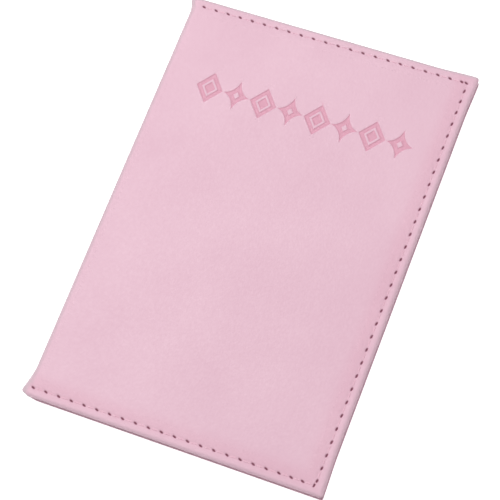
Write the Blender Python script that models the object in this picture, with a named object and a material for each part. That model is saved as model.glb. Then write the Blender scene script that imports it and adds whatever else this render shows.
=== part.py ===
"""Bi-fold passport holder, closed and lying on its back cover.

Units are metres. +Z is up, +Y points to the top edge of the covers and +X from the spine to the
opening side. The origin is the middle of the underside. Two covers fold about a spine strip: the
rear crease joins the back cover to the spine, and the front crease joins the spine to the front
cover. Each cover is a stack of sheets, so a sheet's place is its depth below the cover's outer face.
"""

import math

import bpy
from mathutils import Vector

MM = 0.001

# The closed holder
WIDTH = 96 * MM
HEIGHT = 142 * MM
THICKNESS = 4.8 * MM

# Sheets, outside to inside, with the same clearance between any two of them
CLEARANCE = 0.1 * MM
SKIN = 0.5 * MM
BOARD = 0.4 * MM
TURNED_EDGE = 0.35 * MM
LINING = 0.15 * MM
SLEEVE = 0.3 * MM
CARD_PANEL = 0.18 * MM

# Outer skin
CORNER_RADIUS = 1.5 * MM
OUTER_ROLL = 0.8 * MM
INNER_ROLL = 0.3 * MM
TURNED_WIDTH = 8 * MM
SIDE_GAP = 0.3 * MM
ARC_STEPS = 5
ROLL_STEPS = 4

# Spine: the creases lie in the middle of the skin, so that the open holder lies flat
CREASE_INSET = SKIN / 2
CREASE_GAP = 0.4 * MM
INNER_START = 1.4 * MM
SPINE_LINING_HEM = 1 * MM

# Seams
SEAM_INSET = 2.6 * MM
SEAM_START = 2.8 * MM
THREAD_WIDTH = 0.5 * MM
THREAD_HEIGHT = 0.13 * MM
THREAD_SINK = 0.02 * MM
GROOVE_WIDTH = 1.1 * MM
GROOVE_DEPTH = 0.25 * MM
HEM_INSET = 2.2 * MM
STEP_LENGTH = 1 * MM

# Inner sleeves and card slots
FRONT_SLEEVE_START = -44.5 * MM
BACK_SLEEVE_START = -14 * MM
CARD_SLOT_TOP = 22 * MM
CARD_SLOT_STEP = 15 * MM
CARD_SEAM_MARGIN = 0.6 * MM

# Depths below the outer face of a cover
BOARD_DEPTH = SKIN + CLEARANCE
TURNED_DEPTH = BOARD_DEPTH + BOARD + CLEARANCE
SKIN_TOTAL = TURNED_DEPTH + TURNED_EDGE
SLEEVE_DEPTH = SKIN_TOTAL + CLEARANCE
FACE_DEPTH = SLEEVE_DEPTH + SLEEVE + CLEARANCE

LEFT = -WIDTH / 2
RIGHT = WIDTH / 2
TOP = HEIGHT / 2
CREASE_X = LEFT + CREASE_INSET

# How far an overlapping cutter reaches past what it cuts
OVERRUN = 2 * MM

LEATHER_PINK = (0.90, 0.72, 0.78)
INNER_PINK = (0.88, 0.69, 0.75)
LINING_PINK = (0.80, 0.62, 0.67)
THREAD_PINK = (0.93, 0.74, 0.80)
BOARD_GREY = (0.72, 0.70, 0.66)


class Cover:
    """One half of the holder: where its outer face is, and which way its sheets stack."""

    def __init__(self, name, outer_z, inward, parent):
        self.name = name
        self.outer_z = outer_z
        self.inward = inward
        self.parent = parent

    def z(self, depth):
        return self.outer_z + self.inward * depth

    def sheet_z(self, depth, thickness):
        """The low and high z of a sheet that starts at a depth."""
        return sorted((self.z(depth), self.z(depth + thickness)))


def clear_scene():
    for thing in list(bpy.data.objects):
        bpy.data.objects.remove(thing, do_unlink=True)


def to_linear(value):
    """An sRGB channel as the linear value that a shader takes."""
    if value <= 0.04045:
        return value / 12.92
    return ((value + 0.055) / 1.055) ** 2.4


def make_material(name, colour, roughness):
    material = bpy.data.materials.new(name)
    material.use_nodes = True
    shader = material.node_tree.nodes["Principled BSDF"]
    shader.inputs["Base Color"].default_value = (*map(to_linear, colour), 1.0)
    shader.inputs["Roughness"].default_value = roughness
    shader.inputs["Metallic"].default_value = 0.0
    return material


def make_empty(name, location, parent=None):
    """An empty at a world place, which carries the pieces that turn about it."""
    empty = bpy.data.objects.new(name, None)
    empty.location = Vector(location)
    if parent:
        empty.parent = parent
        empty.location -= parent_place(parent)
    bpy.context.collection.objects.link(empty)
    return empty


def parent_place(thing):
    """The world place of an unrotated object, added up through its parents."""
    place = Vector((0, 0, 0))
    while thing:
        place += thing.location
        thing = thing.parent
    return place


def make_object(name, points, faces, parent, material=None):
    """An object from world points; its location undoes its parent's, so the points stay in place."""
    mesh = bpy.data.meshes.new(name)
    mesh.from_pydata(points, [], faces)
    mesh.validate()
    thing = bpy.data.objects.new(name, mesh)
    bpy.context.collection.objects.link(thing)
    if parent:
        thing.parent = parent
        thing.location = -parent_place(parent)
    if material:
        mesh.materials.append(material)
    return thing


def make_stack(name, loops, parent, material=None):
    """A closed solid through outlines of equal length, listed from the lowest z to the highest."""
    count = len(loops[0][0])
    points = [(x, y, z) for outline, z in loops for x, y in outline]
    faces = [list(reversed(range(count)))]
    for level in range(len(loops) - 1):
        base = level * count
        for i in range(count):
            j = (i + 1) % count
            faces.append([base + i, base + j, base + count + j, base + count + i])
    faces.append([(len(loops) - 1) * count + i for i in range(count)])
    return make_object(name, points, faces, parent, material)


def make_ribbon(name, path, width, height, parent, material=None):
    """A flat band along a path of (x, y, low z) points, with mitred corners."""
    points = []
    last = len(path) - 1
    for i, (x, y, z) in enumerate(path):
        before = Vector(path[max(i - 1, 0)][:2])
        here = Vector((x, y))
        after = Vector(path[min(i + 1, last)][:2])
        arriving = (here - before if i > 0 else after - here).normalized()
        leaving = (after - here if i < last else here - before).normalized()
        along = (arriving + leaving).normalized()
        across = Vector((-along.y, along.x)) * (width / 2 / along.dot(arriving))
        for side, rise in ((1, 0), (-1, 0), (-1, height), (1, height)):
            points.append((x + side * across.x, y + side * across.y, z + rise))
    faces = [[0, 1, 2, 3], [4 * last + corner for corner in (3, 2, 1, 0)]]
    for i in range(last):
        for corner in range(4):
            turned = (corner + 1) % 4
            faces.append([4 * i + turned, 4 * i + corner, 4 * i + 4 + corner, 4 * i + 4 + turned])
    return make_object(name, points, faces, parent, material)


def rectangle(left, right, bottom, top):
    return [(left, bottom), (right, bottom), (right, top), (left, top)]


def cover_outline(left, inset, radius):
    """A cover's outline drawn in on its three free sides, with round corners on the opening side."""
    right = RIGHT - inset
    top = TOP - inset
    outline = [(left, -top)]
    for side, first_angle in ((-1, -math.pi / 2), (1, 0)):
        for step in range(ARC_STEPS + 1):
            angle = first_angle + math.pi / 2 * step / ARC_STEPS
            x = right - radius + radius * math.cos(angle)
            y = side * (top - radius) + radius * math.sin(angle)
            outline.append((x, y))
    outline.append((left, top))
    return outline


def rolled_loops(cover, left):
    """Outlines of a cover's skin from its outer face inwards, rounded as leather turned over a board."""
    loops = []
    for step in range(ROLL_STEPS + 1):
        angle = math.pi / 2 * step / ROLL_STEPS
        inset = OUTER_ROLL * (1 - math.sin(angle))
        loops.append((inset, OUTER_ROLL * (1 - math.cos(angle))))
    for step in range(ROLL_STEPS + 1):
        angle = math.pi / 2 * step / ROLL_STEPS
        inset = INNER_ROLL * (1 - math.cos(angle))
        loops.append((inset, SKIN_TOTAL - INNER_ROLL * (1 - math.sin(angle))))
    radius = CORNER_RADIUS
    placed = [(cover_outline(left, inset, radius - inset / 2), cover.z(depth)) for inset, depth in loops]
    return sorted(placed, key=lambda loop: loop[1])


def cut(target, cutter):
    cutter.hide_render = True
    cutter.display_type = "WIRE"
    boolean = target.modifiers.new(cutter.name, "BOOLEAN")
    boolean.operation = "DIFFERENCE"
    boolean.solver = "EXACT"
    boolean.object = cutter


def seam_path(z, inset=SEAM_INSET, start=SEAM_START, step=None):
    """The three-sided seam's path; step is (x, z) where the thread climbs onto a narrower sheet."""
    left = LEFT + start
    right = RIGHT - inset
    top = TOP - inset
    if step is None:
        return [(left, -top, z), (right, -top, z), (right, top, z), (left, top, z)]
    step_x, step_z = step
    before = step_x - STEP_LENGTH
    lower_run = [(left, -top, z), (before, -top, z), (step_x, -top, step_z), (right, -top, step_z)]
    return lower_run + [(x, -y, height) for x, y, height in reversed(lower_run)]


def make_skin(cover, material):
    """The outer leather of a cover, turned over the board on three sides."""
    left = CREASE_X + CREASE_GAP
    skin = make_stack(f"{cover.name}_skin", rolled_loops(cover, left), cover.parent, material)
    beyond = left - OVERRUN
    inner_start = LEFT + INNER_START

    def cutter(name, outline, shallow, deep):
        loops = [(outline, z) for z in cover.sheet_z(shallow, deep - shallow)]
        return make_stack(f"{cover.name}_{name}_cutter", loops, cover.parent)

    board_room = cover_outline(beyond, SKIN, CORNER_RADIUS - SKIN / 2)
    cut(skin, cutter("board_room", board_room, SKIN, TURNED_DEPTH))
    window = cover_outline(beyond, TURNED_WIDTH, CORNER_RADIUS)
    cut(skin, cutter("window", window, BOARD_DEPTH, SKIN_TOTAL + OVERRUN))
    spine_side = rectangle(beyond, inner_start, -TOP - OVERRUN, TOP + OVERRUN)
    cut(skin, cutter("spine_side", spine_side, SKIN, SKIN_TOTAL + OVERRUN))

    low, high = cover.sheet_z(-OVERRUN, OVERRUN + GROOVE_DEPTH)
    groove_path = seam_path(low, start=SEAM_START - SIDE_GAP)
    groove_name = f"{cover.name}_groove_cutter"
    groove = make_ribbon(groove_name, groove_path, GROOVE_WIDTH, high - low, cover.parent)
    cut(skin, groove)
    return skin


def make_sheet(name, cover, outline, depth, thickness, material):
    loops = [(outline, z) for z in cover.sheet_z(depth, thickness)]
    return make_stack(name, loops, cover.parent, material)


def make_board(cover, material):
    outline = cover_outline(LEFT + INNER_START, SKIN + SIDE_GAP, CORNER_RADIUS / 2)
    make_sheet(f"{cover.name}_board", cover, outline, BOARD_DEPTH, BOARD, material)


def make_lining(cover, material):
    outline = cover_outline(LEFT + INNER_START, TURNED_WIDTH + SIDE_GAP, CORNER_RADIUS / 2)
    make_sheet(f"{cover.name}_lining", cover, outline, TURNED_DEPTH, LINING, material)


def make_sleeve(cover, start, material):
    """A flap sewn down on three sides and open towards the spine."""
    outline = cover_outline(start, SKIN + SIDE_GAP, CORNER_RADIUS / 2)
    make_sheet(f"{cover.name}_sleeve", cover, outline, SLEEVE_DEPTH, SLEEVE, material)


def make_card_panels(cover, material):
    """Card slots: each panel lies over the one before it, and its upper edge is one step lower."""
    margin = SEAM_INSET + THREAD_WIDTH / 2 + SIDE_GAP
    left = FRONT_SLEEVE_START + HEM_INSET + CARD_SEAM_MARGIN
    for i, place in enumerate(("upper", "middle", "lower")):
        top = CARD_SLOT_TOP - i * CARD_SLOT_STEP
        outline = rectangle(left, RIGHT - margin, margin - TOP, top)
        depth = FACE_DEPTH + i * (CARD_PANEL + CLEARANCE)
        make_sheet(f"card_panel_{place}", cover, outline, depth, CARD_PANEL, material)


def make_needle_thread(cover, material):
    low = cover.sheet_z(THREAD_SINK, THREAD_HEIGHT)[0]
    name = f"{cover.name}_needle_thread"
    make_ribbon(name, seam_path(low), THREAD_WIDTH, THREAD_HEIGHT, cover.parent, material)


def make_bobbin_thread(cover, sleeve_start, material):
    """The seam's inner thread: on the turned edge up to the sleeve, and then on the sleeve."""
    low = cover.sheet_z(FACE_DEPTH, THREAD_HEIGHT)[0]
    step = None
    if sleeve_start > LEFT + SEAM_START + STEP_LENGTH:
        step = (sleeve_start - SIDE_GAP, low)
        low = cover.sheet_z(SLEEVE_DEPTH, THREAD_HEIGHT)[0]
    path = seam_path(low, start=max(SEAM_START, FRONT_SLEEVE_START - LEFT + SIDE_GAP), step=step)
    name = f"{cover.name}_bobbin_thread"
    make_ribbon(name, path, THREAD_WIDTH, THREAD_HEIGHT, cover.parent, material)


def make_edge_thread(name, cover, sleeve_start, material):
    """A straight seam along a sleeve's free edge, between the two runs of the cover's own seam."""
    low = cover.sheet_z(FACE_DEPTH, THREAD_HEIGHT)[0]
    x = sleeve_start + HEM_INSET
    end = TOP - SEAM_INSET - THREAD_WIDTH / 2 - SIDE_GAP
    path = [(x, -end, low), (x, end, low)]
    make_ribbon(name, path, THREAD_WIDTH, THREAD_HEIGHT, cover.parent, material)


def make_spine(parent, leather, lining):
    """The strip between the creases: the outer leather and the lining inside it."""
    low = CREASE_INSET + CREASE_GAP
    skin_sides = rectangle(LEFT, LEFT + SKIN, -TOP, TOP)
    make_stack("spine_skin", [(skin_sides, low), (skin_sides, THICKNESS - low)], parent, leather)
    inner = LEFT + SKIN + CLEARANCE
    end = TOP - SPINE_LINING_HEM
    lining_sides = rectangle(inner, inner + LINING, -end, end)
    low = SKIN + CREASE_GAP
    make_stack("spine_lining", [(lining_sides, low), (lining_sides, THICKNESS - low)], parent, lining)


def build():
    clear_scene()
    leather = make_material("outer_leather", LEATHER_PINK, 0.55)
    inner = make_material("inner_leather", INNER_PINK, 0.6)
    fabric = make_material("lining_fabric", LINING_PINK, 0.9)
    cardboard = make_material("board", BOARD_GREY, 0.9)
    thread = make_material("thread", THREAD_PINK, 0.7)

    back_frame = make_empty("back_cover_frame", (0, 0, 0))
    rear_crease = make_empty("rear_crease", (CREASE_X, 0, CREASE_INSET), back_frame)
    front_crease = make_empty("front_crease", (CREASE_X, 0, THICKNESS - CREASE_INSET), rear_crease)

    back = Cover("back_cover", 0, 1, back_frame)
    front = Cover("front_cover", THICKNESS, -1, front_crease)
    for cover, sleeve_start in ((back, BACK_SLEEVE_START), (front, FRONT_SLEEVE_START)):
        make_skin(cover, leather)
        make_board(cover, cardboard)
        make_lining(cover, fabric)
        make_sleeve(cover, sleeve_start, inner)
        make_needle_thread(cover, thread)
        make_bobbin_thread(cover, sleeve_start, thread)
    make_card_panels(front, inner)
    make_edge_thread("card_seam_thread", front, FRONT_SLEEVE_START, thread)
    make_edge_thread("sleeve_hem_thread", back, BACK_SLEEVE_START, thread)
    make_spine(rear_crease, leather, fabric)


build()
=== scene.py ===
"""Looks of the passport holder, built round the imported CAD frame.

Every leather or cloth piece is a sheet: a net of cells in flat "skin space" (u across, v along,
d deep), finer where there are needle holes or ornament, then shaped and wrapped round the spine.
"""

import math

import bmesh
import bpy
import numpy as np
from mathutils import Matrix, Vector


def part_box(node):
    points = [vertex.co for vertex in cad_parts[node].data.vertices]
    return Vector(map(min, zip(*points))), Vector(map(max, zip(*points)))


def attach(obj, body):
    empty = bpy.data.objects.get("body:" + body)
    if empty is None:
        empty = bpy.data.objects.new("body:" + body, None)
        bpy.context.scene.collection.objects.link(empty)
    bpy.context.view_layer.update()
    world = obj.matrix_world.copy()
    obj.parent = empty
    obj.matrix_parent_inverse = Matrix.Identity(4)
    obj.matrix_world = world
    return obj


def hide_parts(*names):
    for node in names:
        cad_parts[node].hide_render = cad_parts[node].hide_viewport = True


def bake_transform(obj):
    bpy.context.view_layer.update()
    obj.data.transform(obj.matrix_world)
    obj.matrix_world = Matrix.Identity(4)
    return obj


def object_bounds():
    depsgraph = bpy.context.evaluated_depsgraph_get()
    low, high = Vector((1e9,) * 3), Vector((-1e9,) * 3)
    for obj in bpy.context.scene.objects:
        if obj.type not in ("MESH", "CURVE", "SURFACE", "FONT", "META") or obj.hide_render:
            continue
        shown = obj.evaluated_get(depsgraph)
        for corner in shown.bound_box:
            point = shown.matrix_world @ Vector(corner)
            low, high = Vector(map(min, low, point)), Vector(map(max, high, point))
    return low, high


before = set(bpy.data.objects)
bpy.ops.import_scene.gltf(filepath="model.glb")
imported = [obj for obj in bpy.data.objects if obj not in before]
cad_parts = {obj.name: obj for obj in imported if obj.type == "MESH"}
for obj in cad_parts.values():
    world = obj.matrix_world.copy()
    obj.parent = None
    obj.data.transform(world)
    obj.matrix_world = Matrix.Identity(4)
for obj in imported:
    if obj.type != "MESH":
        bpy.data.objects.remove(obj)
cad_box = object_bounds()

MM = 0.001

# Sizes read from the frame
LOW = Vector(cad_box[0])
HIGH = Vector(cad_box[1])
LEFT = LOW.x
RIGHT = HIGH.x
TOP = HIGH.y
THICKNESS = HIGH.z
SKIN_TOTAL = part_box("back_cover_skin")[1].z
LINING_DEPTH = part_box("back_cover_lining")[0].z
LINING_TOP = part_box("back_cover_lining")[1].z
LINING_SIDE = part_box("back_cover_lining")[1].y
SLEEVE_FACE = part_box("back_cover_sleeve")[1].z

# Outer leather
SKIN = 0.42 * MM
ROLL_INSET = 1.1 * MM
ROLL_DEPTH = 0.8 * MM
INNER_ROLL = 0.4 * MM
TURNED_WIDTH = 8 * MM
CORNER_RADIUS = 0.7 * MM
CORNER_POWER_TOP = 4
CORNER_POWER_BOTTOM = 12
CORNER_EASE = 14 * MM
BACK_CORNER_FLARE = 0.4 * MM
FRONT_CORNER_FLARE = 0.45 * MM
SIDE_PUFF = 0.15 * MM
SPINE_RADIUS = 1.5 * MM
SPINE_TURNED = 1.0 * MM
# How far the spine's ends stand out, and over what length: bottom end, then top end
SPINE_FLARES = ((1.6 * MM, 10 * MM), (1.3 * MM, 5 * MM))
FLARE_PEAK = 0.7
MIDDLE_FLARE = 0.55
FLARE_INNER_LOSS = 0.55
SPINE_END_RADIUS = 1.4 * MM
SPINE_TUCK = 0.4 * MM
TUCK_LENGTH = 3 * MM
HEEL_LENGTH = 4 * MM
BACK_HEEL = 0.5 * MM
FRONT_HEEL = 0.1 * MM
SPINE_END_DETAIL = 2.5 * MM
SPINE_LINING_DEPTH = 0.6 * MM
LINING_GAP = 0.3 * MM
EDGE_SHEEN = 0.4 * MM
FOLD_GAP = 0.45 * MM
FOLD_GAP_SHADE_SHARE = 0.75
ROLL_STEPS = 6

# Where the covers begin to bend round the spine, and how far round the bend the spine is flat
FOLD = LEFT + SPINE_RADIUS
BEND = SPINE_RADIUS * math.pi / 2

# Seam: where the needle holes are, and how the leather lies round them. The seam runs along three
# sides from the spine end of the top edge, and turns each corner with a short and a long stitch.
SEAM_TOP = 2.75 * MM
SEAM_RIGHT = 2.4 * MM
SEAM_BOTTOM = 2.8 * MM
SEAM_START_TOP = 4.15 * MM
SEAM_START_BOTTOM = 1.95 * MM
STITCH_COUNTS = (21, 31, 21)
FIRST_GAPS = (0.0, 2.85 * MM, 3.95 * MM)
LAST_GAPS = (1.8 * MM, 1.5 * MM, 0.0)
CORNER_TIGHTENING = 0.15
TIGHTENED_STITCHES = 1.8
CORNER_HOLE_INSET = 0.35 * MM
HOLE_LENGTH = 0.72 * MM
HOLE_WIDTH = 0.33 * MM
HOLE_DEPTH = 0.22 * MM
HOLE_SLANTS = (math.radians(-19), math.radians(-10), math.radians(-21))
HOLE_LIP = 0.05 * MM
# Where the walls, lip and painted shade inside a hole lie, as distances that are 1 at the slit's rim
HOLE_WALL = (0.3, 1.3)
HOLE_DARK = (0.6, 1.2)
HOLE_LIP_AT = 1.7
HOLE_LIP_WIDTH = 0.5
CHANNEL_DEPTH = 0.15 * MM
CHANNEL_WIDTH = 0.7 * MM
# A soft band of painted shade just inside the seam on the bottom and opening sides
SHADED_INSET = 4.2 * MM
SHADED_WIDTH = 2.6 * MM
SHADED_SHARE = 0.17

# Thread
THREAD_RADIUS = 0.2 * MM
THREAD_SUNK = 0.2 * MM
THREAD_DIVE = 0.35 * MM
THREAD_PITCH = 1.1 * MM
THREAD_GAP = 0.62 * MM
THREAD_STRANDS = 3
THREAD_RELIEF = 0.13
THREAD_END = 0.55
THREAD_AROUND = 10
THREAD_ALONG = 16

# Debossed row of ornaments across the front cover
ORNAMENTS = 8
ORNAMENT_Y = 42 * MM
ORNAMENT_FIRST = -31.5 * MM
ORNAMENT_LAST = 32.5 * MM
ORNAMENT_HALF = (4.3 * MM, 5.2 * MM)
ORNAMENT_STROKE = 1.15 * MM
LOZENGE_CORE_INSET = 1.75 * ORNAMENT_STROKE
STAR_EYE_INSET = 2.1 * ORNAMENT_STROKE
STAR_POWER = 0.62
PRESSED_FLOOR_TONE = 0.62
PRESSED_WALL_TONE = 1.5
ORNAMENT_DEPTH = 0.2 * MM
ORNAMENT_SOFT = 0.4 * MM

# Net of cells
CELL = 1.2 * MM
LEVELS = 3
DETAIL_REACH = (1.2 * MM, 0.95 * MM, 0.8 * MM)
CORNER_REACH = 1.6 * MM

SHARP_ANGLE = math.radians(65)

# Inner panels
HEM_INSET = 2.2 * MM
SMALL_STITCH = 3.0 * MM
SETTLE_WIDTH = 4 * MM
PANEL_STEP = 0.03 * MM
PANEL_EDGE_TONE = 0.8
DEEPEST_SHARE = 0.8
CREASE_LINE_INSET = 1.3 * MM
CREASE_LINE_DEPTH = 0.08 * MM
CREASE_LINE_WIDTH = 0.22 * MM


# Stage
FLOOR_HALF = 3.0
FLOOR_GREY = 0.6
FLOOR_GLOW = 0.85
STUDIO_GLOW = 0.24
KEY_LIGHT = {"place": (-0.42, 0.24, 0.85), "size": 0.6, "power": 5.7}
OVERHEAD_LIGHT = {"place": (0.05, 0.05, 1.3), "size": 0.9, "power": 6.5}
CAMERA_AZIMUTH = math.radians(38.902)
CAMERA_ELEVATION = math.radians(67.942)
CAMERA_ROLL = math.radians(-19.036)
CAMERA_DISTANCE = 0.60337
CAMERA_TARGET = Vector((-0.00048, -0.004, 0))
CAMERA_LENS = 140.27


class Cover:
    """One half of the holder: its outer face's height, and which way its sheets stack. Its corners
    flare on the opening side, and draw in by the heel on the spine side."""

    def __init__(self, name, outer_z, inward, corner_flare, heel):
        self.name = name
        self.outer_z = outer_z
        self.inward = inward
        self.corner_flare = corner_flare
        self.heel = heel

    def depths(self, node):
        """How deep below the cover's outer face a CAD node begins and ends."""
        return sorted(abs(corner.z - self.outer_z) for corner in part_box(node))

    def flare_share(self, run):
        """How much of the flare there is round the bend: most by the front cover, less behind it."""
        if self is BACK:
            return MIDDLE_FLARE * ramp(run, 0, BEND)
        peak = FLARE_PEAK * BEND
        fade = ramp(run, peak, BEND + THICKNESS / 2 - SPINE_RADIUS)
        return ramp(run, 0, peak) * (1 - (1 - MIDDLE_FLARE) * fade)

    def spot(self, u, v, d):
        """World points from skin space; the sheet wraps round the spine left of the fold."""
        run = np.maximum(FOLD - u, 0.0)
        turn = np.minimum(run, BEND) / SPINE_RADIUS
        x = np.where(run > 0, FOLD - (SPINE_RADIUS - d) * np.sin(turn), u)
        deep = np.where(run > 0, SPINE_RADIUS - (SPINE_RADIUS - d) * np.cos(turn), d)
        deep = deep + np.maximum(run - BEND, 0.0)
        inner = np.clip(d / SPINE_TURNED, 0, 1)
        x = x - spine_flare(v) * self.flare_share(run) * (1 - FLARE_INNER_LOSS * inner)
        rim = ramp(np.abs(v), TOP - CORNER_EASE, TOP) * ramp(u, RIGHT - SEAM_RIGHT, RIGHT)
        x = x + (SIDE_PUFF * ramp(u, RIGHT - SEAM_RIGHT, RIGHT) + self.corner_flare * rim)
        top_corner = ramp(u, RIGHT - CORNER_EASE, RIGHT) * ramp(v, TOP - SEAM_TOP, TOP)
        on_spine = ramp(run, 0, BEND)
        tuck = self.heel * ramp(u, LEFT + HEEL_LENGTH, LEFT) * (1 - on_spine) + SPINE_TUCK * on_spine
        tuck = tuck * ramp(np.abs(v), TOP - TUCK_LENGTH, TOP)
        y = v + self.corner_flare * top_corner - tuck * np.sign(v)
        return np.stack([x, y, self.outer_z + self.inward * deep], axis=1)


def spine_flare(v):
    """How far the spine stands out at this height: its ends splay, and round off at the tips."""
    flare = np.zeros_like(v)
    for side, (most, length) in zip((-1, 1), SPINE_FLARES):
        flare += most * ramp(v * side, TOP - length, TOP)
    tip = np.clip((np.abs(v) - TOP) / SPINE_END_RADIUS + 1, 0, 1)
    return flare - SPINE_END_RADIUS * (1 - np.sqrt(1 - tip**2))


def over_spine(u):
    """0 on the spine and 1 on the cover, with the rise in the bend between them."""
    return ramp(u, FOLD - BEND, FOLD)


BACK = Cover("back_cover", 0.0, 1, BACK_CORNER_FLARE, BACK_HEEL)
FRONT = Cover("front_cover", THICKNESS, -1, FRONT_CORNER_FLARE, FRONT_HEEL)
SPINE_END = LEFT + SPINE_RADIUS * (1 - math.pi / 2) - (THICKNESS / 2 - SPINE_RADIUS)


def smooth(t):
    return t * t * (3 - 2 * t)


def ramp(value, start, end):
    """0 before start and 1 after end, with a smooth rise between."""
    return smooth(np.clip((value - start) / (end - start), 0, 1))


# ---------------------------------------------------------------- seams


def cover_seam():
    """The corners of a cover's seam, clockwise from the spine end of the top edge."""
    top, bottom, right = TOP - SEAM_TOP, SEAM_BOTTOM - TOP, RIGHT - SEAM_RIGHT
    starts = LEFT + SEAM_START_TOP, LEFT + SEAM_START_BOTTOM
    return [np.array(p) for p in ((starts[0], top), (right, top), (right, bottom), (starts[1], bottom))]


def stitch_places(first, last, side):
    """Holes along one side of a cover; its stitches are a little shorter next to a turned corner."""
    count = STITCH_COUNTS[side]
    lengths = np.ones(count)
    near_end = CORNER_TIGHTENING * np.exp(-np.arange(count) / TIGHTENED_STITCHES)
    if side > 0:
        lengths -= near_end
    if side < 2:
        lengths -= near_end[::-1] / 2
    steps = np.concatenate([[0], np.cumsum(lengths)])
    return first + (last - first) * steps / steps[-1]


def cover_holes(line):
    """The needle holes of a cover's seam, each with the angle that its slit lies at."""
    holes = []
    for side, (start, end) in enumerate(zip(line, line[1:])):
        length = np.linalg.norm(end - start)
        along = (end - start) / length
        first, last = FIRST_GAPS[side], length - LAST_GAPS[side]
        angle = math.atan2(along[1], along[0]) + HOLE_SLANTS[side]
        holes += [(start + along * place, angle) for place in stitch_places(first, last, side)]
        if side < 2:
            holes.append((end - (CORNER_HOLE_INSET, 0), angle))
    return holes


def straight_holes(start, end, stitch):
    count = round(math.dist(start, end) / stitch)
    angle = math.atan2(end[1] - start[1], end[0] - start[0])
    return [(start + (end - start) * i / count, angle) for i in range(count + 1)]


def hole_radius(u, v, hole):
    """Distance from a needle hole, where 1 is the rim of its slanted slit."""
    place, angle = hole
    du, dv = u - place[0], v - place[1]
    along = du * math.cos(angle) + dv * math.sin(angle)
    across = dv * math.cos(angle) - du * math.sin(angle)
    return np.hypot(along / HOLE_LENGTH, across / HOLE_WIDTH)


def seam_distance(u, v, lines):
    """Distance from the nearest of the seams, each given by its corners."""
    nearest = np.full(np.shape(u), 1.0)
    for a, b in (ends for line in lines for ends in zip(line, line[1:])):
        edge = b - a
        t = np.clip(((u - a[0]) * edge[0] + (v - a[1]) * edge[1]) / (edge @ edge), 0, 1)
        nearest = np.minimum(nearest, np.hypot(u - a[0] - t * edge[0], v - a[1] - t * edge[1]))
    return nearest


def seam_sink(u, v, lines, holes):
    """How far the seams pull the leather down, and the mask of painted shade in their needle holes."""
    sink = CHANNEL_DEPTH * np.exp(-((seam_distance(u, v, lines) / CHANNEL_WIDTH) ** 2))
    hole_shade = np.zeros_like(sink)
    for hole in holes:
        radius = hole_radius(u, v, hole)
        near = radius < 3
        depth = HOLE_DEPTH * (1 - ramp(radius[near], *HOLE_WALL))
        lip = HOLE_LIP * np.exp(-(((radius[near] - HOLE_LIP_AT) / HOLE_LIP_WIDTH) ** 2))
        sink[near] += depth - lip
        hole_shade[near] = np.maximum(hole_shade[near], 1 - ramp(radius[near], *HOLE_DARK))
    return sink, hole_shade


# ---------------------------------------------------------------- ornament


def ornament_mask(u, v):
    """1 inside the debossed motifs: framed lozenges and four-pointed stars in turn."""
    mask = np.zeros_like(u)
    half_u, half_v = ORNAMENT_HALF
    for i in range(ORNAMENTS):
        centre = ORNAMENT_FIRST + (ORNAMENT_LAST - ORNAMENT_FIRST) * i / (ORNAMENTS - 1)
        a = np.abs(u - centre) / half_u
        b = np.abs(v - ORNAMENT_Y) / half_v
        lozenge = (1 - a - b) * half_u * half_v / math.hypot(half_u, half_v)
        if i % 2 == 0:
            outline = np.minimum(lozenge, ORNAMENT_STROKE - lozenge)
            inside = np.maximum(outline, lozenge - LOZENGE_CORE_INSET)
        else:
            star = (1 - (a**STAR_POWER + b**STAR_POWER) ** (1 / STAR_POWER)) * half_u / 2
            inside = np.minimum(star, STAR_EYE_INSET - lozenge)
        mask = np.maximum(mask, ramp(inside, -ORNAMENT_SOFT / 2, ORNAMENT_SOFT / 2))
    return mask


def pressed_tone(mask):
    """How far the heat of the press deepened the colour: most at the walls of the motifs."""
    return PRESSED_FLOOR_TONE * mask + PRESSED_WALL_TONE * mask * (1 - mask)


def near_ornament(u, v, reach):
    half_u, half_v = ORNAMENT_HALF
    step = (ORNAMENT_LAST - ORNAMENT_FIRST) / (ORNAMENTS - 1)
    offset = np.abs((u - ORNAMENT_FIRST + step / 2) % step - step / 2)
    in_row = (u > ORNAMENT_FIRST - step / 2) & (u < ORNAMENT_LAST + step / 2)
    return in_row & (offset < half_u + reach) & (np.abs(v - ORNAMENT_Y) < half_v + reach)


# ---------------------------------------------------------------- nets of cells


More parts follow.
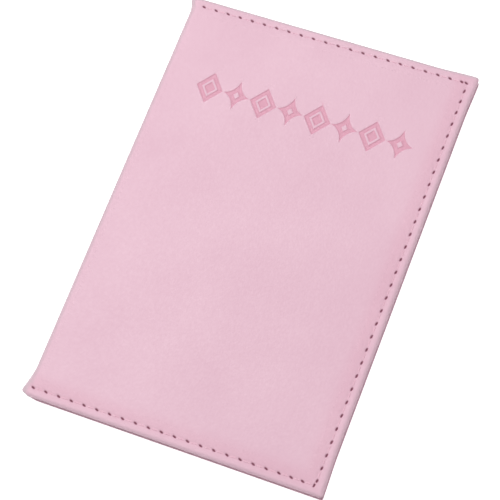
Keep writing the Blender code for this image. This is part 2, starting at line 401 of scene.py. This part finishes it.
class Net:
    """A sheet in skin space: cells that split where detail is wanted, and a rolled rim."""

    def __init__(self, u_range, v_range, wants):
        self.low = (u_range[0], v_range[0])
        self.high = (u_range[1], v_range[1])
        self.counts = [max(1, round((b - a) / CELL)) for a, b in (u_range, v_range)]
        self.size = 2**LEVELS
        self.keys = {}
        self.places = []
        self.faces = []
        self.outwards = {}
        leaves = self.split_cells(wants)
        corners = {(x + dx, y + dy) for x, y, s in leaves for dx in (0, s) for dy in (0, s)}
        for x, y, s in leaves:
            ring = [(x + t, y) for t in range(s)] + [(x + s, y + t) for t in range(s)]
            ring += [(x + s - t, y + s) for t in range(s)] + [(x, y + s - t) for t in range(s)]
            self.faces.append([self.index(point) for point in ring if point in corners])

    def split_cells(self, wants):
        """Quarters the cells that wants() picks, level by level, and returns (x, y, size) of each."""
        span = self.size
        across, along = self.counts
        cells = np.array([(i * span, j * span) for i in range(across) for j in range(along)])
        leaves = []
        for level in range(LEVELS):
            chosen = wants(*self.flat_place(*(cells + span / 2).T), level)
            leaves += [(x, y, span) for x, y in cells[~chosen].tolist()]
            span //= 2
            cells = np.concatenate([cells[chosen] + (dx, dy) for dx in (0, span) for dy in (0, span)])
        return leaves + [(x, y, span) for x, y in cells.tolist()]

    def flat_place(self, x, y):
        steps = (x / (self.counts[0] * self.size), y / (self.counts[1] * self.size))
        return [low + (high - low) * t for low, high, t in zip(self.low, self.high, steps)]

    def index(self, point, ring=0, place=None):
        key = (*point, ring)
        if key not in self.keys:
            self.keys[key] = len(self.places)
            self.places.append(place or (*self.flat_place(*point), 0.0))
        return self.keys[key]

    def outline(self, closed):
        """Grid points round the net: bottom, right and top sides, and the left one if closed."""
        width, height = (count * self.size for count in self.counts)
        path = [(x, 0) for x in range(width)] + [(width, y) for y in range(height)]
        path += [(x, height) for x in range(width, 0, -1)]
        path += [(0, y) for y in range(height, 0, -1)] if closed else [(0, height)]
        return [point for point in path if (*point, 0) in self.keys]

    def round_corners(self, radius, powers):
        """Pulls the opening-side corners in to superellipses, and keeps which way is outwards there.
        A higher power, given for the bottom and the top corner, leaves a sharper corner."""
        for (x, y, _), i in list(self.keys.items()):
            u, v, d = self.places[i]
            side = 1 if v > 0 else -1
            centre = (self.high[0] - radius, side * (self.high[1] - radius))
            a, b = u - centre[0], (v - centre[1]) * side
            if a > 0 and b > 0:
                power = powers[side > 0]
                reach = (a**power + b**power) ** (1 / power)
                pull = max(a, b) / reach
                self.places[i] = (centre[0] + a * pull, centre[1] + side * b * pull, d)
                self.outwards[(x, y)] = (a / reach, side * b / reach)

    def direction(self, point, closed):
        if point in self.outwards:
            return self.outwards[point]
        ends = [(0, count * self.size) for count in self.counts]
        out = [(at == high) * 1.0 - (at == low) for at, (low, high) in zip(point, ends)]
        return (out[0] if closed or out[0] > 0 else 0.0, out[1])

    def add_rim(self, profile, closed):
        """Strips round the edge through (inset, depth) steps; inset counts from the outermost line."""
        roll = profile[0][0]
        path = self.outline(closed)
        for point in path:
            base_u, base_v, _ = self.places[self.keys[(*point, 0)]]
            out_u, out_v = self.direction(point, closed)
            room = roll + self.corner_room(base_u, base_v, closed)
            for ring, (inset, depth) in enumerate(profile[1:], 1):
                push = roll - min(inset, room)
                self.index(point, ring, (base_u + out_u * push, base_v + out_v * push, depth))
        pairs = list(zip(path, path[1:] + path[:1])) if closed else list(zip(path, path[1:]))
        for ring in range(1, len(profile)):
            for a, b in pairs:
                inner = [self.keys[(*b, ring - 1)], self.keys[(*a, ring - 1)]]
                self.faces.append(inner + [self.keys[(*a, ring)], self.keys[(*b, ring)]])

    def corner_room(self, u, v, closed):
        """How far a rim can turn in from here before it meets the rim of the next side."""
        gap_u = min(self.high[0] - u, u - self.low[0] if closed else 1.0)
        gap_v = min(self.high[1] - v, v - self.low[1])
        return max(gap_u, gap_v)

    def points(self):
        return np.array(self.places, float)

    def open_edges(self):
        """The directed edges that only one face uses."""
        used = {}
        for face in self.faces:
            for a, b in zip(face, face[1:] + face[:1]):
                used[(a, b)] = True
        return [(a, b) for a, b in used if (b, a) not in used]


def face_and_back(u_range, v_range, wants):
    """The detailed net of a sheet's face, and a plain one for its back that splits the same way at
    the edges, so that the two fit together."""

    def wants_at_edge(u, v, level):
        reach = 0.75 * CELL / 2**level
        at_edge = np.minimum(u - u_range[0], u_range[1] - u) < reach
        at_edge |= np.minimum(v - v_range[0], v_range[1] - v) < reach
        return wants(u, v, level) & at_edge

    return Net(u_range, v_range, wants), Net(u_range, v_range, wants_at_edge)


def new_mesh(name, points, faces, flip=False):
    mesh = bpy.data.meshes.new(name)
    mesh.from_pydata([tuple(p) for p in points], [], [f[::-1] for f in faces] if flip else faces)
    mesh.shade_smooth()
    mesh.set_sharp_from_angle(angle=SHARP_ANGLE)
    return mesh


def new_object(mesh):
    thing = bpy.data.objects.new(mesh.name, mesh)
    bpy.context.scene.collection.objects.link(thing)
    return thing


def normals_of(points, faces, flip):
    mesh = new_mesh("normals", points, faces, flip)
    normals = np.array([v.normal for v in mesh.vertices])
    bpy.data.meshes.remove(mesh)
    return normals


def paint(thing, name, values):
    """Stores one number per point for the material, such as how deep in a needle hole it is."""
    attribute = thing.data.attributes.new(name, "FLOAT", "POINT")
    padded = np.zeros(len(thing.data.vertices), np.float32)
    padded[: len(values)] = values
    attribute.data.foreach_set("value", padded)


def thick_sheet(name, cover, fine, coarse, shaped, thickness, flip):
    """A closed leather sheet: the fine net is its face, and a plain net a thickness inside its back."""
    face = cover.spot(*shaped.T)
    back_flat = coarse.points()
    back_flat[:, 2] = bend_depth(back_flat)
    back = cover.spot(*back_flat.T)
    back = back - normals_of(back, coarse.faces, flip) * thickness
    offset = len(face)
    keys = {index: key for key, index in fine.keys.items()}
    faces = list(fine.faces) + [[i + offset for i in f[::-1]] for f in coarse.faces]
    for a, b in fine.open_edges():
        far_a, far_b = coarse.keys[keys[a]] + offset, coarse.keys[keys[b]] + offset
        faces.append([b, a, far_a, far_b])
    return new_object(new_mesh(name, np.concatenate([face, back]), faces, flip))


def bend_depth(points):
    """Depth of the sheet, with its rim drawn in past the board, where only leather is folded."""
    share = over_spine(points[:, 0])
    most = SPINE_TURNED + (SKIN_TOTAL - SPINE_TURNED) * share
    return points[:, 2] * most / SKIN_TOTAL


# ---------------------------------------------------------------- outer leather


def rolled_profile():
    """(inset, depth) steps of leather that turns over the board and ends flat inside the cover."""
    steps = [i / ROLL_STEPS * math.pi / 2 for i in range(ROLL_STEPS + 1)]
    profile = [(ROLL_INSET * (1 - math.sin(a)), ROLL_DEPTH * (1 - math.cos(a))) for a in steps]
    inner = [(INNER_ROLL * (1 - math.cos(a)), SKIN_TOTAL - INNER_ROLL * (1 - math.sin(a))) for a in steps]
    flat = [(INNER_ROLL + (TURNED_WIDTH - INNER_ROLL) * i / 3, SKIN_TOTAL) for i in range(1, 4)]
    return profile + inner + flat


def make_skin(cover, ornamented):
    """A cover's leather, with its half of the spine, rolled edges, seam and ornament."""
    seam = cover_seam()
    holes = cover_holes(seam)

    def wants(u, v, level):
        near = seam_distance(u, v, [seam]) < DETAIL_REACH[level]
        near |= (RIGHT - ROLL_INSET - u < CORNER_REACH) & (TOP - ROLL_INSET - np.abs(v) < CORNER_REACH)
        near |= (u < FOLD) & (TOP - np.abs(v) < SPINE_END_DETAIL) & (level < LEVELS - 1)
        if ornamented:
            near |= near_ornament(u, v, DETAIL_REACH[level] - DETAIL_REACH[-1])
        return near

    nets = face_and_back((SPINE_END, RIGHT - ROLL_INSET), (ROLL_INSET - TOP, TOP - ROLL_INSET), wants)
    for net in nets:
        net.round_corners(CORNER_RADIUS, (CORNER_POWER_BOTTOM, CORNER_POWER_TOP))
        net.add_rim(rolled_profile(), closed=False)
    fine, coarse = nets
    shaped = fine.points()
    u, v = shaped[:, 0], shaped[:, 1]
    flat = shaped[:, 2] == 0
    shaped[:, 2] = bend_depth(shaped)
    sink, hole_shade = seam_sink(u, v, [seam], holes)
    edge = np.minimum(RIGHT - u, TOP - np.abs(v))
    marks = ornament_mask(u, v) if ornamented else np.zeros_like(u)
    sink += ORNAMENT_DEPTH * marks
    sink *= ramp(edge, ROLL_INSET, ROLL_INSET * 1.3)
    shaped[flat, 2] += sink[flat]
    skin = thick_sheet(f"{cover.name}_leather", cover, fine, coarse, shaped, SKIN, cover is BACK)
    # Painted shade in the fold gap at the front cover's bottom opening corner, kept with the needle holes'
    # painted shade
    corner = 1 - ramp(np.hypot(RIGHT - u, TOP + v), FOLD_GAP, 2 * FOLD_GAP)
    folded = ramp(shaped[:, 2], ROLL_DEPTH / 2, ROLL_DEPTH)
    fold_gap_shade = FOLD_GAP_SHADE_SHARE * corner * folded * (cover is FRONT)
    paint(skin, "painted_shade", np.maximum(hole_shade * flat, fold_gap_shade))
    # A soft band of painted shade inside the seam on the bottom and opening sides, kept with the pressed
    # marks
    bottom_and_opening_inset = np.minimum(TOP + v, RIGHT - u)
    shaded = SHADED_SHARE * np.exp(-(((bottom_and_opening_inset - SHADED_INSET) / SHADED_WIDTH) ** 2))
    paint(skin, "mark_and_shade", np.maximum(pressed_tone(marks), shaded) * flat)
    # Painted sheen on the rolled rims: full on the top edge and spine side, a quarter as strong on the
    # bottom and opening edges
    top_and_spine_sheen = 1 - ramp(np.minimum(TOP - v, u - LEFT), EDGE_SHEEN, 3 * EDGE_SHEEN)
    bottom_and_opening_sheen = 1 - ramp(bottom_and_opening_inset, EDGE_SHEEN, 3 * EDGE_SHEEN)
    paint(skin, "edge", np.maximum(top_and_spine_sheen, bottom_and_opening_sheen / 4))
    skin.data.materials.append(outer_leather())
    return skin


# ---------------------------------------------------------------- thread


def thread_run(points, faces, start, end):
    """Adds one twisted stitch that rises out of a hole and dives into the next one."""
    length = np.linalg.norm(end - start)
    direction = (end - start) / length
    side = np.array([-direction[1], direction[0]])
    fold_gap_shade = min(THREAD_GAP, 0.3 * length)
    reach = length - 2 * fold_gap_shade
    first = len(points)
    for i in range(THREAD_ALONG + 1):
        t = i / THREAD_ALONG
        centre = start + direction * (fold_gap_shade + reach * t)
        lift = 1 - abs(2 * t - 1) ** 5
        for k in range(THREAD_AROUND):
            angle = 2 * math.pi * k / THREAD_AROUND
            twist = THREAD_STRANDS * angle + 2 * math.pi * reach * t / THREAD_PITCH
            plump = THREAD_END + (1 - THREAD_END) * lift
            radius = THREAD_RADIUS * plump * (1 + THREAD_RELIEF * math.cos(twist))
            depth = THREAD_SUNK + THREAD_DIVE * (1 - lift) - radius * math.sin(angle)
            points.append((*(centre + side * radius * math.cos(angle)), depth))
    for i in range(THREAD_ALONG):
        for k in range(THREAD_AROUND):
            a, b = (first + i * THREAD_AROUND + j % THREAD_AROUND for j in (k, k + 1))
            faces.append([a, b, b + THREAD_AROUND, a + THREAD_AROUND])
    faces.append([first + k for k in reversed(range(THREAD_AROUND))])
    faces.append([first + THREAD_ALONG * THREAD_AROUND + k for k in range(THREAD_AROUND)])


def make_thread(name, cover, holes, face_depth, outwards, material):
    """A seam's stitches, sunk in a sheet's face; outwards is 1 on the cover's outside, -1 inside."""
    points, faces = [], []
    for (a, _), (b, _) in zip(holes, holes[1:]):
        thread_run(points, faces, a, b)
    spots = np.array(points)
    spots[:, 2] = cover.outer_z + cover.inward * (face_depth + outwards * spots[:, 2])
    thread = new_object(new_mesh(name, spots, faces, cover.inward * outwards > 0))
    thread.data.materials.append(material)
    return thread


# ---------------------------------------------------------------- inner panels


def weld(thing):
    """Joins points that lie in the same place, and turns every face outwards."""
    shape = bmesh.new()
    shape.from_mesh(thing.data)
    bmesh.ops.remove_doubles(shape, verts=shape.verts, dist=1e-7)
    bmesh.ops.recalc_face_normals(shape, faces=shape.faces)
    shape.to_mesh(thing.data)
    shape.free()
    thing.data.set_sharp_from_angle(angle=SHARP_ANGLE)


def make_panel(node, cover, lines, holes, sink_of, settle_to=None):
    """A leather panel in the place of its CAD node, with rounded edges. Its stitched, shaped face is
    the one that looks into the holder; sink_of(u, v) presses more into that face. Where settle_to is
    given, its sewn sides (all but the top) come down to that depth, so that it lies in with them."""
    low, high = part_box(node)
    depth = cover.depths(node)
    thickness = depth[1] - depth[0]
    roll = thickness / 2

    def wants(u, v, level):
        near = seam_distance(u, v, lines) < DETAIL_REACH[level]
        return near | (sink_of(u, v) > 0.1 * CREASE_LINE_DEPTH) & (level < LEVELS - 1)

    ranges = [(low[i] + roll, high[i] - roll) for i in (0, 1)]
    fine, coarse = face_and_back(*ranges, wants)
    turns = [i / ROLL_STEPS * math.pi for i in range(ROLL_STEPS + 1)]
    fine.add_rim([(roll * (1 - math.sin(a)), roll * (1 - math.cos(a))) for a in turns], closed=True)
    shaped = fine.points()
    u, v = shaped[:, 0], shaped[:, 1]
    face = shaped[:, 2] == 0
    sink, hole_shade = seam_sink(u, v, lines, holes)
    crease = sink_of(u, v)
    shaped[face, 2] += np.minimum(sink + crease, DEEPEST_SHARE * thickness)[face]
    back = coarse.points()
    back[:, 2] = thickness
    both = np.concatenate([shaped, back])
    both[:, 2] = depth[1] - both[:, 2]
    if settle_to is not None:
        x, y, _ = both.T
        inside = np.minimum(np.minimum(x - low.x, high.x - x), y - low.y)
        both[:, 2] -= (depth[0] - settle_to) * (1 - ramp(inside, 0, SETTLE_WIDTH))
    faces = fine.faces + [[i + len(shaped) for i in f[::-1]] for f in coarse.faces]
    panel = new_object(new_mesh(f"{node}_leather", cover.spot(*both.T), faces))
    # Painted shade in the needle holes
    paint(panel, "painted_shade", hole_shade * face)
    paint(panel, "mark_and_shade", crease / CREASE_LINE_DEPTH * face)
    paint(panel, "edge", PANEL_EDGE_TONE * ~face)
    weld(panel)
    panel.data.materials.append(inner_leather())
    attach(panel, cover.name)
    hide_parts(node)
    return panel


def crease_line(position, along_u):
    """A line pressed into a panel beside its free edge, as a finish for the edge."""

    def sink(u, v):
        offset = (u if along_u else v) - position
        return CREASE_LINE_DEPTH * np.exp(-((offset / CREASE_LINE_WIDTH) ** 2))

    return sink


# ---------------------------------------------------------------- materials


def to_linear(value):
    value /= 255
    return value / 12.92 if value <= 0.04045 else ((value + 0.055) / 1.055) ** 2.4


def colour(red, green, blue):
    return (*map(to_linear, (red, green, blue)), 1.0)


class Shader:
    """A material's node tree with short ways to add and link nodes."""

    def __init__(self, name, roughness):
        self.material = bpy.data.materials.new(name)
        self.material.use_nodes = True
        self.tree = self.material.node_tree
        self.main = self.tree.nodes["Principled BSDF"]
        self.main.inputs["Roughness"].default_value = roughness
        self.place = self.tree.nodes.new("ShaderNodeTexCoord").outputs["Object"]

    def add(self, kind, inputs=None, **settings):
        node = self.tree.nodes.new(kind)
        for key, value in settings.items():
            setattr(node, key, value)
        for key, value in (inputs or {}).items():
            if isinstance(value, bpy.types.NodeSocket):
                self.tree.links.new(value, node.inputs[key])
            else:
                node.inputs[key].default_value = value
        return node

    def noise(self, scale, detail=2.0, roughness=0.5):
        inputs = {"Vector": self.place, "Scale": scale, "Detail": detail, "Roughness": roughness}
        return self.add("ShaderNodeTexNoise", inputs).outputs["Fac"]

    def cells(self, scale):
        return self.add("ShaderNodeTexVoronoi", {"Vector": self.place, "Scale": scale}).outputs["Distance"]

    def spread(self, value, low, high, new_low=0.0, new_high=1.0):
        inputs = {"Value": value, "From Min": low, "From Max": high, "To Min": new_low, "To Max": new_high}
        return self.add("ShaderNodeMapRange", inputs).outputs["Result"]

    def mix(self, share, first, second):
        node = self.add("ShaderNodeMix", {"Factor": share}, data_type="RGBA")
        for socket, value in ((node.inputs[6], first), (node.inputs[7], second)):
            if isinstance(value, bpy.types.NodeSocket):
                self.tree.links.new(value, socket)
            else:
                socket.default_value = value
        return node.outputs[2]

    def attribute(self, name):
        return self.add("ShaderNodeAttribute", attribute_name=name).outputs["Fac"]

    def bump(self, height, strength, distance, normal=None):
        inputs = {"Height": height, "Strength": strength, "Distance": distance}
        if normal is not None:
            inputs["Normal"] = normal
        return self.add("ShaderNodeBump", inputs).outputs["Normal"]

    def finish(self, base, roughness=None, normal=None):
        self.tree.links.new(base, self.main.inputs["Base Color"])
        if roughness is not None:
            self.tree.links.new(roughness, self.main.inputs["Roughness"])
        if normal is not None:
            self.tree.links.new(normal, self.main.inputs["Normal"])
        return self.material


def leather(name, light, dark, mark_and_shade, edge, grain):
    """Smooth coated leather: soft mottling, fine pebbled grain, pressed marks, painted shade in needle
    holes and bands, and an edge colour that is painted sheen on the outer rims and edge paint on the
    panels.
    """
    shader = Shader(name, 0.5)
    shader.main.inputs["Specular IOR Level"].default_value = 0.35
    mottle = shader.spread(shader.noise(38, 3), 0.3, 0.7)
    tone = shader.mix(mottle, light, dark)
    speck = shader.spread(shader.noise(1400, 2), 0.35, 0.75, 0.0, 0.35)
    tone = shader.mix(speck, tone, dark)
    # Pressed marks, and on the outer leather also the painted shade band inside the seam
    tone = shader.mix(shader.attribute("mark_and_shade"), tone, mark_and_shade)
    # Painted sheen on the outer leather's rims; real edge paint on the panels
    tone = shader.mix(shader.attribute("edge"), tone, edge)
    # Painted shade in the needle holes and in the fold gap
    tone = shader.mix(shader.attribute("painted_shade"), tone, colour(122, 62, 82))
    pebble = shader.bump(shader.cells(1300), grain, 0.00016)
    fine = shader.bump(shader.noise(4200, 3), grain * 0.7, 0.00008, pebble)
    shine = shader.spread(shader.noise(900, 3), 0.3, 0.7, 0.44, 0.58)
    return shader.finish(tone, shine, fine)


def once(make):
    """Makes a material the first time it is asked for, and gives the same one after that."""
    made = []

    def get():
        if not made:
            made.append(make())
        return made[0]

    return get


@once
def outer_leather():
    # The mark colour also paints the shade band inside the seam
    light, dark = colour(227, 188, 203), colour(222, 181, 197)
    # The edge colour is painted sheen on the rolled rims
    return leather("outer_leather", light, dark, colour(211, 137, 161), colour(203, 180, 189), 0.35)


@once
def inner_leather():
    light, dark = colour(228, 184, 200), colour(221, 175, 192)
    return leather("inner_leather", light, dark, colour(206, 146, 168), colour(184, 132, 152), 0.4)


@once
def thread_material():
    shader = Shader("thread", 0.6)
    shader.main.inputs["Sheen Weight"].default_value = 0.3
    fuzz = shader.spread(shader.noise(3000, 2), 0.3, 0.7)
    tone = shader.mix(fuzz, colour(238, 196, 210), colour(222, 172, 190))
    return shader.finish(tone, None, shader.bump(shader.noise(6000, 2), 0.3, 0.00003))


@once
def lining_material():
    """Fine plain weave: crossed sine ribs for the threads, and uneven yarn colour."""
    shader = Shader("lining_fabric", 0.85)
    shader.main.inputs["Sheen Weight"].default_value = 0.25
    ribs = []
    for axis in ("X", "Y"):
        wave_inputs = {"Vector": shader.place, "Scale": 1000.0, "Distortion": 0.6, "Detail": 1.0}
        wave = shader.add("ShaderNodeTexWave", wave_inputs, bands_direction=axis)
        ribs.append(wave.outputs["Fac"])
    weave = shader.add("ShaderNodeMath", {0: ribs[0], 1: ribs[1]}, operation="MULTIPLY").outputs[0]
    tone = shader.mix(weave, colour(196, 150, 165), colour(222, 180, 194))
    tone = shader.mix(shader.spread(shader.noise(60, 3), 0.3, 0.7, 0, 0.3), tone, colour(204, 160, 174))
    return shader.finish(tone, None, shader.bump(weave, 0.5, 0.00006))


@once
def board_material():
    shader = Shader("board", 0.9)
    fibre = shader.spread(shader.noise(700, 5, 0.7), 0.3, 0.7)
    tone = shader.mix(fibre, colour(196, 190, 178), colour(170, 163, 150))
    return shader.finish(tone, None, shader.bump(shader.noise(2500, 4), 0.4, 0.00005))


# ---------------------------------------------------------------- assembly


def blend_over_spine(piece, cover):
    """Bakes a piece's transform into its mesh, alike for either cover."""
    if cover is BACK:
        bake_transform(piece)
    else:
        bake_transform(piece)


def add_outer_leather():
    for cover in (BACK, FRONT):
        skin = make_skin(cover, ornamented=cover is FRONT)
        blend_over_spine(skin, cover)
        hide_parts(f"{cover.name}_skin")
        if cover is BACK:
            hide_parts("spine_skin")


def add_thread(node, cover, holes, face_depth, outwards):
    thread = make_thread(f"{node}_stitches", cover, holes, face_depth, outwards, thread_material())
    weld(thread)
    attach(thread, cover.name)
    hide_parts(node)


def add_sleeves():
    """Each cover's sleeve, sewn in with the cover's own seam, and with a second seam at its free edge."""
    for cover, edge_thread in ((BACK, "sleeve_hem_thread"), (FRONT, "card_seam_thread")):
        node = f"{cover.name}_sleeve"
        low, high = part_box(node)
        x = low.x + HEM_INSET
        free_edge = [np.array((x, y)) for y in (low.y + SEAM_RIGHT, high.y - SEAM_RIGHT)]
        edge_holes = straight_holes(*free_edge, SMALL_STITCH)
        seam = cover_seam()
        all_holes = cover_holes(seam)
        caught = [hole for hole in all_holes if hole[0][0] > low.x + CHANNEL_WIDTH]
        sewn = [np.maximum(corner, (low.x, -TOP)) for corner in seam]
        crease = crease_line(low.x + CREASE_LINE_INSET, along_u=True)
        make_panel(node, cover, [free_edge, sewn], edge_holes + caught, crease)
        face = cover.depths(node)[1]
        add_thread(f"{cover.name}_needle_thread", cover, all_holes, 0.0, 1)
        add_thread(f"{cover.name}_bobbin_thread", cover, caught, face, -1)
        add_thread(edge_thread, cover, edge_holes, face, -1)


def add_card_panels():
    """The card slots: three panels whose top edges step down, each behind the next one."""
    for order, name in enumerate(("upper", "middle", "lower")):
        node = f"card_panel_{name}"
        crease = crease_line(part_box(node)[1].y - CREASE_LINE_INSET, along_u=False)
        make_panel(node, FRONT, [], [], crease, settle_to=SLEEVE_FACE + PANEL_STEP * order)


def nowhere(u, v, level):
    """A net's wants() for a sheet without detail."""
    return np.zeros(len(u), bool)


def add_linings():
    """The lining of each cover runs on over the crease to the middle of the spine."""
    for cover in (BACK, FRONT):
        net = Net((SPINE_END, RIGHT - TURNED_WIDTH - LINING_GAP), (-LINING_SIDE, LINING_SIDE), nowhere)
        flat = net.points()
        rise = over_spine(flat[:, 0])
        thickness = LINING_TOP - LINING_DEPTH
        sheets = []
        for extra in (thickness, 0.0):
            layer = flat.copy()
            layer[:, 2] = SPINE_LINING_DEPTH + (LINING_DEPTH - SPINE_LINING_DEPTH) * rise + extra
            sheets.append(cover.spot(*layer.T))
        offset = len(flat)
        faces = net.faces + [[i + offset for i in f[::-1]] for f in net.faces]
        faces += [[b, a, a + offset, b + offset] for a, b in net.open_edges()]
        name = f"{cover.name}_lining_cloth"
        cloth = new_object(new_mesh(name, np.concatenate(sheets), faces, cover is FRONT))
        cloth.data.materials.append(lining_material())
        blend_over_spine(cloth, cover)
        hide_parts(f"{cover.name}_lining")
        if cover is BACK:
            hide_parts("spine_lining")


def finish_boards():
    """The boards are plain, so their CAD nodes show as they are, in a finished material."""
    for cover in (BACK, FRONT):
        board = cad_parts[f"{cover.name}_board"]
        board.data.materials.clear()
        board.data.materials.append(board_material())


# ---------------------------------------------------------------- stage


def add_floor():
    """A pale floor that glows a little, so that it stays evenly white."""
    corners = [(x * FLOOR_HALF, y * FLOOR_HALF, 0) for x, y in ((-1, -1), (1, -1), (1, 1), (-1, 1))]
    floor = new_object(new_mesh("floor", corners, [[0, 1, 2, 3]]))
    shader = Shader("floor", 0.9)
    shader.main.inputs["Base Color"].default_value = (FLOOR_GREY, FLOOR_GREY, FLOOR_GREY, 1)
    shader.main.inputs["Emission Color"].default_value = (1, 1, 1, 1)
    shader.main.inputs["Emission Strength"].default_value = FLOOR_GLOW
    floor.data.materials.append(shader.material)


def add_area_light(name, place, size, power):
    light = bpy.data.lights.new(name, "AREA")
    light.shape = "SQUARE"
    light.size = size
    light.energy = power
    thing = bpy.data.objects.new(name, light)
    thing.location = place
    thing.rotation_euler = (-Vector(place)).to_track_quat("-Z", "Y").to_euler()
    bpy.context.scene.collection.objects.link(thing)


def add_light():
    add_area_light("key_softbox", **KEY_LIGHT)
    add_area_light("overhead_softbox", **OVERHEAD_LIGHT)
    world = bpy.data.worlds.new("studio")
    world.use_nodes = True
    world.node_tree.nodes["Background"].inputs["Color"].default_value = (1, 1, 1, 1)
    world.node_tree.nodes["Background"].inputs["Strength"].default_value = STUDIO_GLOW
    bpy.context.scene.world = world
    bpy.context.scene.view_settings.view_transform = "Standard"


def add_camera():
    """A long lens from above the lower right, turned so that the covers lie slanting in the view."""
    level = math.cos(CAMERA_ELEVATION)
    across, along = level * math.sin(CAMERA_AZIMUTH), -level * math.cos(CAMERA_AZIMUTH)
    away = Vector((across, along, math.sin(CAMERA_ELEVATION)))
    camera = bpy.data.cameras.new("camera")
    camera.sensor_width = 36
    camera.lens = CAMERA_LENS
    thing = bpy.data.objects.new("camera", camera)
    thing.location = CAMERA_TARGET + away * CAMERA_DISTANCE
    aim = (-away).to_track_quat("-Z", "Y").to_matrix()
    thing.rotation_euler = (aim @ Matrix.Rotation(CAMERA_ROLL, 3, "Z")).to_euler()
    bpy.context.scene.collection.objects.link(thing)
    bpy.context.scene.camera = thing


add_camera()
add_floor()
add_light()
finish_boards()
add_outer_leather()
add_sleeves()
add_card_panels()
add_linings()
